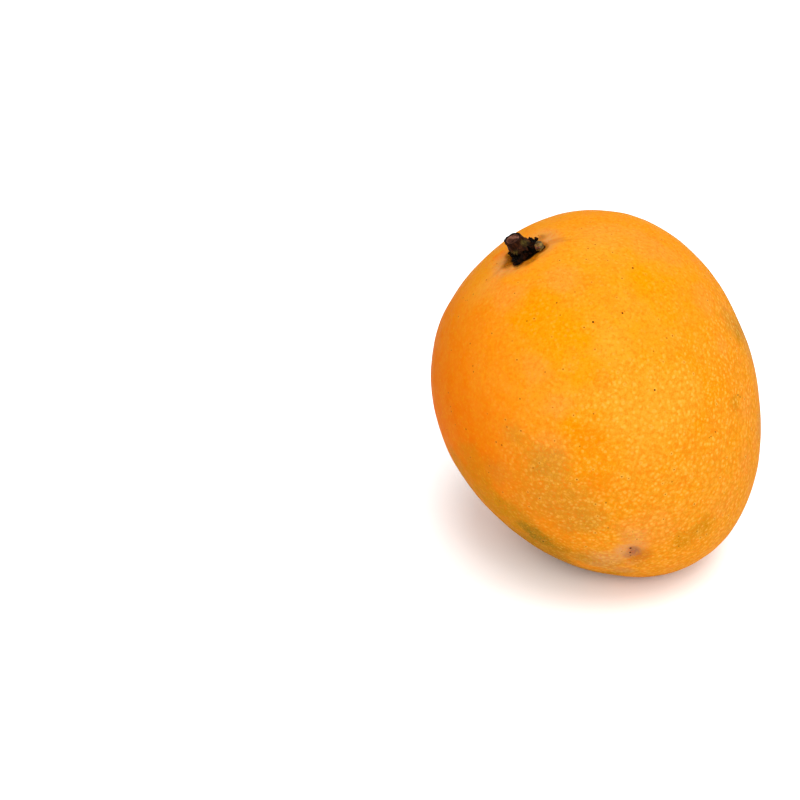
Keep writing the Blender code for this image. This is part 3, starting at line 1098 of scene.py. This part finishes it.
# How much lower the crust stands at its front left, and the height that it never goes below.
CRUST_LOWER = 0.48
CRUST_LOWER_AZIMUTH = math.radians(-82)
CRUST_LOWER_HALF_WIDTH = math.radians(50)
CRUST_UNDERSIDE = 0.00002

# Radii over which the crust comes out of the wood and its relief grows in.
CRUST_SHOWN_RADII = (0.0018, 0.0028)

# Waves of the crust's reach and height round a ring of one radius, its ribs round a ring of
# another, and its lumps, as (height, size, seed).
WANDER_RING = 0.0031
REACH_WANDER = ((0.03, 0.0026, 61),)
HEIGHT_WANDER = ((0.09, 0.0022, 62),)
RIB_RING = 0.0035
CRUST_RIBS = ((0.00007, 0.0009, 63),)
CRUST_LUMPS = ((0.00014, 0.0013, 64), (0.00008, 0.0006, 65))

# Flakes stand on the crust, whose top falls by this share of the way out from this height.
FLAKE_COUNT = 15
FLAKE_RINGS, FLAKE_COLUMNS = 9, 14
FLAKE_RADII = (0.00025, 0.00050)
FLAKE_PLACES = (0.0027, 0.0038)
FLAKE_TURN = 0.3
FLAKE_LIFT = 0.0003
FLAKE_UNEVEN = 0.24
CRUST_TOP = 0.0036
CRUST_FALL = 0.80

# The bud scar's uneven ball, its red-brown side as a direction round the stem, and the shares of
# the ball's radius towards that side over which it grows in.
BUD_SEED = 91
BUD_UNEVEN = 0.07
BUD_RED_SIDE = direction(math.radians(53), math.radians(-59))
BUD_RED_EDGE = (0.72, 0.95)

# Rings and points in each of the stub's pieces.
WOOD_GRID = (120, 120)
CRUST_GRID = (72, 160)
BUD_GRID = (40, 56)


def through(knots, samples):
    """Points on the smooth curve through the knots: each piece is a Catmull-Rom cubic."""
    knots = np.asarray(knots, float)
    padded = np.vstack((2 * knots[0] - knots[1], knots, 2 * knots[-1] - knots[-2]))
    where = np.linspace(0.0, len(knots) - 1.0, samples)
    piece = np.minimum(where.astype(int), len(knots) - 2)
    t = (where - piece)[:, None]
    a, b, c, d = (padded[piece + step] for step in range(4))
    return 0.5 * (2 * b + (c - a) * t + (2 * a - 5 * b + 4 * c - d) * t**2 + (3 * b - a - 3 * c + d) * t**3)


def on_floor(fruit_form, stem_form, points):
    """Points above the hollow's floor, in the stem's axes, as points in the frame."""
    lifted = points + np.array((0.0, 0.0, stem_form.gap))
    return stand(fruit_form, hollow_floor(fruit_form) + lifted @ stem_turn(fruit_form).T)


def turned(profile, rows, columns):
    """A profile carried round the axis, with a point at each end, as (radius, height, azimuth)."""
    curve = through(profile, rows)
    radius = np.append(np.repeat(curve[:, 0], columns), (0.0, 0.0))
    height = np.append(np.repeat(curve[:, 1], columns), (profile[0][1], profile[-1][1]))
    around = np.append(np.tile(np.arange(columns) * math.tau / columns, rows), (0.0, 0.0))
    return radius, height, around


def roughen_bark(points, radius, outward):
    """Gives the wood's side ridges that run along it, lumps and an uneven rim."""
    side = smooth_step(radius, *BARK_RADII)
    bark = waves_of(points * ALONG_WOOD, BARK_RIDGES) + waves_of(points, BARK_LUMPS)
    points += (bark * side)[:, None] * outward
    points[:, 2] += side * waves_of(points * (1.0, 1.0, 0.0), RIM_WAVES)


def shape_cut(points, radius, around, on_cut):
    """Sets the cut's face aside, lowers its rim there, and sinks the pith holes.

    Gives how strongly the face and the holes show at each point.
    """
    inner = np.where(on_cut, smooth_step(radius, *SHIFTED_RADII), 0.0)
    points += (FACE_ASIDE * inner)[:, None] * level_way(FACE_ASIDE_AZIMUTH)
    low_side = smooth_step(np.cos(around - FACE_ASIDE_AZIMUTH), *LOW_SIDE)
    points[:, 2] -= RIM_LOWER * low_side * np.maximum(points[:, 2] - WOOD_PROFILE[0][1], 0.0)
    face = smooth_step(radius, CUT_FACE_RADIUS + FACE_EDGE, CUT_FACE_RADIUS - FACE_EDGE)
    face = np.where(on_cut, face, 0.0)
    points[:, 2] += face * waves_of(points, FACE_WAVES)
    pith = np.zeros(len(points))
    for across, along, hole_radius, depth in PITH_HOLES:
        away = np.hypot(points[:, 0] - across, points[:, 1] - along) / hole_radius
        hole = np.where(on_cut, np.exp(-(away**4)), 0.0)
        points[:, 2] -= depth * hole
        pith = np.maximum(pith, hole)
    return face, pith


def pale_mark(points, radius):
    """How strongly the cut's pale band and the pale ring at its edge, a painted highlight, show."""
    from_band = points @ level_way(PALE_BAND_AZIMUTH) - PALE_BAND_OUT
    band = np.exp(-((from_band / PALE_BAND_HALF_WIDTH) ** 4))
    ring = smooth_step(np.abs(radius - CUT_FACE_RADIUS), *PALE_RING_EDGE)
    return np.maximum(band, PALE_RING * ring)


def olive_mark(points):
    """How strongly the bark that has stayed olive shows."""
    olive = np.zeros(len(points))
    for degrees, level, reach, strength in OLIVE_BARK:
        middle = BARK_RADIUS * level_way(math.radians(degrees)) + (0.0, 0.0, level)
        away = np.linalg.norm(points - middle, axis=1) / reach
        olive = np.maximum(olive, strength * smooth_step(away, *OLIVE_EDGE))
    return olive


def wood_points(form):
    """The stub's wood: its profile turned about the axis, roughened, cut, and leant by a shear.

    Also gives the points before they lean, and how strongly each mark shows at each.
    """
    radius, height, around = turned(WOOD_PROFILE, *WOOD_GRID)
    outward = level_way(around)
    points = radius[:, None] * outward
    points[:, 2] = height
    roughen_bark(points, radius, outward)
    on_cut = height > CUT_LOWEST
    face, pith = shape_cut(points, radius, around, on_cut)
    far_wall_shade = smooth_step(np.cos(around - FACE_ASIDE_AZIMUTH), *FAR_WALL_SHADE)
    marks = {
        "cut_face": face,
        "pale_cut": pale_mark(points, radius),
        "pith": pith,
        # The rim mark is painted shade on the far inner wall of the cut.
        "rim": np.where(on_cut, smooth_step(radius, *RIM_SHADE_RADII) * far_wall_shade, 0.0),
        "olive_bark": olive_mark(points),
    }
    leant = points + math.tan(form.wood_lean) * points[:, 2:3] * level_way(form.wood_lean_azimuth)
    return leant, points, marks


def crust_points():
    """A lumpy skirt round the wood's foot: its profile turned about the axis.

    Its reach and height wander with the azimuth, ribs run down it, and lumps stand out.
    """
    radius, height, around = turned(CRUST_PROFILE, *CRUST_GRID)
    ring = level_way(around)
    reach = CRUST_REACH + waves_of(ring * WANDER_RING, REACH_WANDER)
    for degrees, half_width, further in CRUST_TONGUES:
        off = turn_between(around, math.radians(degrees)) / math.radians(half_width)
        reach += further * np.exp(-(off**2))
    off = turn_between(around, CRUST_LOWER_AZIMUTH) / CRUST_LOWER_HALF_WIDTH
    tall = 1.0 + waves_of(ring * WANDER_RING, HEIGHT_WANDER) - CRUST_LOWER * np.exp(-(off**2))
    points = ring * (radius * reach)[:, None]
    points[:, 2] = height * tall
    shown = smooth_step(radius, *CRUST_SHOWN_RADII)
    relief = waves_of(ring * RIB_RING, CRUST_RIBS) + waves_of(points, CRUST_LUMPS)
    slope = (ring + (0.0, 0.0, 1.0)) / math.sqrt(2.0)
    points += (relief * shown)[:, None] * slope
    points[:, 2] = np.maximum(points[:, 2], CRUST_UNDERSIDE)
    return points


def ball_points(rows, columns, radius, middle, seed, uneven):
    """A ball with a point at each pole, swollen and dented by wave fields."""
    polar = np.arange(1, rows + 1) * math.pi / (rows + 1.0)
    ways = direction(*ring_angles(polar, columns))
    dents = wave_field(ways, 1.1, seed) + 0.5 * wave_field(ways, 0.5, seed + 1)
    return ways * (radius * (1.0 + uneven * dents))[:, None] + middle


def flake_shells():
    """Small dark flakes that stand on the crust, seeded, as (points, faces) of one mesh."""
    draw = np.random.default_rng(67)
    every_point, every_face, start = [], [], 0
    faces = capped_faces(FLAKE_RINGS, FLAKE_COLUMNS)
    for order in range(FLAKE_COUNT):
        around = math.tau * (order + draw.uniform(-FLAKE_TURN, FLAKE_TURN)) / FLAKE_COUNT
        out = draw.uniform(*FLAKE_PLACES)
        height = CRUST_TOP - CRUST_FALL * out + draw.uniform(0.0, FLAKE_LIFT)
        middle = out * level_way(around) + (0.0, 0.0, height)
        radius = draw.uniform(*FLAKE_RADII)
        flake = ball_points(FLAKE_RINGS, FLAKE_COLUMNS, radius, middle, 100 + 2 * order, FLAKE_UNEVEN)
        every_point.append(flake)
        every_face += [[corner + start for corner in face] for face in faces]
        start += len(flake)
    return np.vstack(every_point), every_face


def dry_wood():
    """The cut stalk: dry bark, dark red-brown with olive patches, fibrous along the stalk.

    The cut's face is dark with a pinkish band and a painted highlight round its edge; the far inner wall of
    its rim and its pith holes are painted nearly black as shade.
    """
    material, tree, shader = new_material("stalk_dry_bark")
    own = add_node(tree, "Attribute", {"attribute_name": "own_place"})["Vector"]
    along = add_node(tree, "Mapping", None, {"Vector": own, "Scale": ALONG_WOOD})[0]
    fibres = {"Vector": along, "Scale": 1.0 / FIBRE_WIDTH, "Detail": 4.0}
    fibre = add_node(tree, "TexNoise", None, fibres)[0]
    patches = {"Vector": own, "Scale": 1.0 / BARK_PATCH_SIZE, "Detail": 3.0}
    patch = add_node(tree, "TexNoise", None, patches)[0]
    turned_face = {"Vector": own, "Rotation": (0.0, 0.0, -CUT_GRAIN_AZIMUTH), "Scale": (0.3, 1.0, 1.0)}
    across = add_node(tree, "Mapping", None, turned_face)[0]
    streaks = {"Vector": across, "Scale": 1.0 / CUT_GRAIN_WIDTH, "Detail": 3.0}
    grain = add_node(tree, "TexNoise", None, streaks)[0]

    brown = add_node(tree, "MapRange", SMOOTH, {0: fibre, 1: 0.40, 2: 0.66, 3: 0.0, 4: 1.0})[0]
    dry = add_node(tree, "MapRange", SMOOTH, {0: fibre, 1: 0.60, 2: 0.74, 3: 0.0, 4: 0.45})[0]
    shade = add_node(tree, "MapRange", SMOOTH, {0: patch, 1: 0.50, 2: 0.34, 3: 0.0, 4: 0.75})[0]
    pink = add_node(tree, "MapRange", SMOOTH, {0: grain, 1: 0.34, 2: 0.58, 3: 0.25, 4: 1.0})[0]
    marks = {}
    for name in ("olive_bark", "rim", "cut_face", "pale_cut", "pith"):
        marks[name] = add_node(tree, "Attribute", {"attribute_name": name})["Fac"]
    # The pale ring in this mark is a painted highlight on the cut's edge.
    pink = add_node(tree, "Math", PRODUCT, {0: pink, 1: marks["pale_cut"]})[0]
    mossy = add_node(tree, "MapRange", SMOOTH, {0: fibre, 1: 0.30, 2: 0.60, 3: 0.35, 4: 1.0})[0]
    mossy = add_node(tree, "Math", PRODUCT, {0: mossy, 1: marks["olive_bark"]})[0]
    cut = lay_colours(tree, linear("#3A1E12"), [(pink, linear("#70493A"))])
    layers = (
        (brown, linear("#3B1C0A")),
        (mossy, linear("#4B3F16")),
        (dry, linear("#614627")),
        (shade, linear("#0C0302")),
        # Painted shade on the far inner wall of the cut's rim.
        (marks["rim"], linear("#080303")),
        (marks["cut_face"], cut),
        # Painted shade in the pith holes.
        (marks["pith"], linear("#050202")),
    )
    tree.links.new(lay_colours(tree, linear("#1A0802"), layers), shader["Base Color"])
    rough = add_node(tree, "MapRange", SMOOTH, {0: fibre, 1: 0.3, 2: 0.7, 3: 0.50, 4: 0.78})[0]
    tree.links.new(rough, shader["Roughness"])
    shader["Specular IOR Level"].default_value = 0.04
    bump = {"Strength": 0.7, "Distance": 0.0002, "Height": fibre}
    tree.links.new(add_node(tree, "Bump", None, bump)[0], shader["Normal"])
    return material


def dried_sap_crust():
    """Dried sap and dead skin: black-brown and cracked, with a few small highlights painted into its
    colour.
    """
    material, tree, shader = new_material("stalk_sap_crust")
    place = add_node(tree, "TexCoord")["Object"]
    patches = {"Vector": place, "Scale": 1.0 / CRUST_PATCH_SIZE, "Detail": 4.0}
    patch = add_node(tree, "TexNoise", None, patches)[0]
    cracks = {"Vector": place, "Scale": 1.0 / CRUST_CRACK_SIZE, "Detail": 3.0}
    fine = add_node(tree, "TexNoise", None, cracks)[0]
    brown = add_node(tree, "MapRange", SMOOTH, {0: patch, 1: 0.46, 2: 0.66, 3: 0.0, 4: 1.0})[0]
    # Painted highlights: small pale specks put into the crust's colour.
    painted_glint = add_node(tree, "MapRange", SMOOTH, {0: fine, 1: 0.68, 2: 0.78, 3: 0.0, 4: 0.8})[0]
    layers = ((brown, linear("#210D04")), (painted_glint, linear("#423B39")))
    tree.links.new(lay_colours(tree, linear("#040201"), layers), shader["Base Color"])
    rough = add_node(tree, "MapRange", SMOOTH, {0: patch, 1: 0.35, 2: 0.65, 3: 0.34, 4: 0.7})[0]
    tree.links.new(rough, shader["Roughness"])
    shader["Specular IOR Level"].default_value = 0.015
    bump = {"Strength": 0.8, "Distance": 0.0002, "Height": fine}
    tree.links.new(add_node(tree, "Bump", None, bump)[0], shader["Normal"])
    return material


def bud_skin():
    """The bud scar: dull olive-yellow bark with a red-brown blotch and dark wrinkles."""
    material, tree, shader = new_material("bud_scar_bark")
    place = add_node(tree, "TexCoord")["Object"]
    wrinkles = {"Vector": place, "Scale": 1.0 / WRINKLE_SIZE, "Detail": 3.0}
    fine = add_node(tree, "TexNoise", None, wrinkles)[0]
    bright = add_node(tree, "MapRange", SMOOTH, {0: fine, 1: 0.48, 2: 0.66, 3: 0.0, 4: 0.8})[0]
    dark = add_node(tree, "MapRange", SMOOTH, {0: fine, 1: 0.48, 2: 0.36, 3: 0.0, 4: 0.7})[0]
    red = add_node(tree, "Attribute", {"attribute_name": "red_side"})["Fac"]
    layers = ((bright, linear("#806422")), (red, linear("#5F270C")), (dark, linear("#180F05")))
    tree.links.new(lay_colours(tree, linear("#543F12"), layers), shader["Base Color"])
    shader["Roughness"].default_value = 0.6
    shader["Specular IOR Level"].default_value = 0.2
    bump = {"Strength": 0.6, "Distance": 0.0002, "Height": fine}
    tree.links.new(add_node(tree, "Bump", None, bump)[0], shader["Normal"])
    return material


class MANGO_OT_wood(Operator):
    """Makes the stem stub's wood, which takes the place of its solid"""

    bl_idname = "mango.wood"
    bl_label = "Stub's wood"

    def execute(self, context):
        stem_form = context.scene.mango_stem
        leant, upright, marks = wood_points(stem_form)
        placed = on_floor(context.scene.mango_form, stem_form, leant)
        wood = new_piece("stub_wood", placed, capped_faces(*WOOD_GRID), "stem_stub")
        give_vector_attribute(wood.data, "own_place", upright)
        for name, values in marks.items():
            give_attribute(wood.data, name, values)
        wood.data.materials.append(dry_wood())
        return {"FINISHED"}


class MANGO_OT_crust(Operator):
    """Makes the crust at the stub's foot and the flakes that stand on it"""

    bl_idname = "mango.crust"
    bl_label = "Stub's crust"

    def execute(self, context):
        material = dried_sap_crust()
        flakes, flake_faces = flake_shells()
        for name, points, faces in (
            ("stub_crust", crust_points(), capped_faces(*CRUST_GRID)),
            ("stub_flakes", flakes, flake_faces),
        ):
            placed = on_floor(context.scene.mango_form, context.scene.mango_stem, points)
            piece = new_piece(name, placed, faces, "stem_stub")
            piece.data.materials.append(material)
        return {"FINISHED"}


class MANGO_OT_bud(Operator):
    """Makes the bud scar at the stub's foot"""

    bl_idname = "mango.bud"
    bl_label = "Stub's bud scar"

    def execute(self, context):
        form = context.scene.mango_stem
        middle = form.bud_from_axis * level_way(form.bud_azimuth) + (0.0, 0.0, form.bud_height)
        ball = ball_points(*BUD_GRID, form.bud_radius, middle, BUD_SEED, BUD_UNEVEN)
        red_side = smooth_step((ball - middle) @ BUD_RED_SIDE / form.bud_radius, *BUD_RED_EDGE)
        ball[:, 2] = np.maximum(ball[:, 2], form.bud_underside)
        placed = on_floor(context.scene.mango_form, form, ball)
        bud = new_piece("stub_bud", placed, capped_faces(*BUD_GRID), "stem_stub")
        give_attribute(bud.data, "red_side", red_side)
        bud.data.materials.append(bud_skin())
        return {"FINISHED"}


def paper_floor(stage):
    """Matt white paper with the faintest tooth."""
    material, tree, shader = new_material("studio_white_paper")
    place = add_node(tree, "TexCoord")["Object"]
    tooth = add_node(tree, "TexNoise", None, {"Vector": place, "Scale": 1.0 / PAPER_TOOTH_SIZE})[0]
    tooth = add_node(tree, "MapRange", SMOOTH, {0: tooth, 1: 0.3, 2: 0.7, 3: 0.0, 4: 0.03})[0]
    paper = lay_colours(tree, stage.floor_colour, [(tooth, linear("#F2F0EE"))])
    tree.links.new(paper, shader["Base Color"])
    shader["Roughness"].default_value = 0.85
    shader["Specular IOR Level"].default_value = 0.1
    return material


# Where the two round softboxes hang, and how wide they are.
OVERHEAD_PLACE = (0.12, -0.25, 1.12)
OVERHEAD_SIZE = 1.0
FRONT_PLACE = (0.10, -0.95, 0.75)
FRONT_SIZE = 0.7


def add_softbox(name, place, target, size, power):
    """Adds a round soft lamp that faces a target."""
    lamp = bpy.data.lights.new(name, "AREA")
    lamp.shape = "DISK"
    lamp.size = size
    lamp.energy = power
    obj = bpy.data.objects.new(name, lamp)
    obj.location = place
    obj.rotation_euler = (Vector(target) - Vector(place)).to_track_quat("-Z", "Y").to_euler()
    bpy.context.scene.collection.objects.link(obj)


class MANGO_OT_stage(Operator):
    """Makes the white floor, the soft lights and the camera"""

    bl_idname = "mango.stage"
    bl_label = "Studio stage"

    def execute(self, context):
        stage = context.scene.mango_stage
        form = context.scene.mango_form
        half = stage.floor_size / 2.0
        corners = [(-half, -half, 0.0), (half, -half, 0.0), (half, half, 0.0), (-half, half, 0.0)]
        mesh = bpy.data.meshes.new("paper_floor")
        mesh.from_pydata(corners, [], [(0, 1, 2, 3)])
        floor = bpy.data.objects.new("paper_floor", mesh)
        context.scene.collection.objects.link(floor)
        floor.data.materials.append(paper_floor(stage))

        middle = tuple(standing_place(form))
        add_softbox("overhead_softbox", OVERHEAD_PLACE, middle, OVERHEAD_SIZE, stage.key)
        add_softbox("front_softbox", FRONT_PLACE, middle, FRONT_SIZE, stage.front)

        world = bpy.data.worlds.new("even_white")
        world.use_nodes = True
        sky = world.node_tree.nodes["Background"]
        sky.inputs["Color"].default_value = (1.0, 1.0, 1.0, 1.0)
        sky.inputs["Strength"].default_value = stage.sky
        context.scene.world = world
        context.scene.view_settings.view_transform = "Standard"
        context.scene.view_settings.look = "None"

        lens = bpy.data.cameras.new("photo_camera")
        lens.lens = stage.lens
        lens.sensor_width = stage.sensor
        lens.clip_start = 0.01
        camera = bpy.data.objects.new("photo_camera", lens)
        camera.location = camera_place(stage, form)
        camera.rotation_euler = (math.pi / 2.0 - stage.elevation, 0.0, 0.0)
        context.scene.collection.objects.link(camera)
        context.scene.camera = camera
        return {"FINISHED"}


class MANGO_PT_sidebar(Panel):
    """The mango's sizes, colours and pieces"""

    bl_label = "Mango"
    bl_idname = "MANGO_PT_sidebar"
    bl_space_type = "VIEW_3D"
    bl_region_type = "UI"
    bl_category = "Mango"

    def draw(self, context):
        for operator in OPERATORS:
            self.layout.operator(operator.bl_idname)
        for group_name, group in GROUPS.items():
            box = self.layout.box()
            box.label(text=group.__name__)
            values = getattr(context.scene, group_name)
            for name in group.__annotations__:
                box.prop(values, name)


GROUPS = {
    "mango_form": FruitForm,
    "mango_skin": SkinFinish,
    "mango_stem": StemForm,
    "mango_stage": StudioStage,
}
OPERATORS = (MANGO_OT_stage, MANGO_OT_fruit, MANGO_OT_wood, MANGO_OT_crust, MANGO_OT_bud)


def register():
    for group_name, group in GROUPS.items():
        bpy.utils.register_class(group)
        setattr(bpy.types.Scene, group_name, PointerProperty(type=group))
    for operator in OPERATORS:
        bpy.utils.register_class(operator)
    bpy.utils.register_class(MANGO_PT_sidebar)


def unregister():
    bpy.utils.unregister_class(MANGO_PT_sidebar)
    for operator in reversed(OPERATORS):
        bpy.utils.unregister_class(operator)
    for group_name, group in reversed(GROUPS.items()):
        delattr(bpy.types.Scene, group_name)
        bpy.utils.unregister_class(group)


def main():
    register()
    bpy.ops.mango.stage()
    bpy.ops.mango.fruit()
    bpy.ops.mango.wood()
    bpy.ops.mango.crust()
    bpy.ops.mango.bud()


if __name__ == "__main__":
    main()
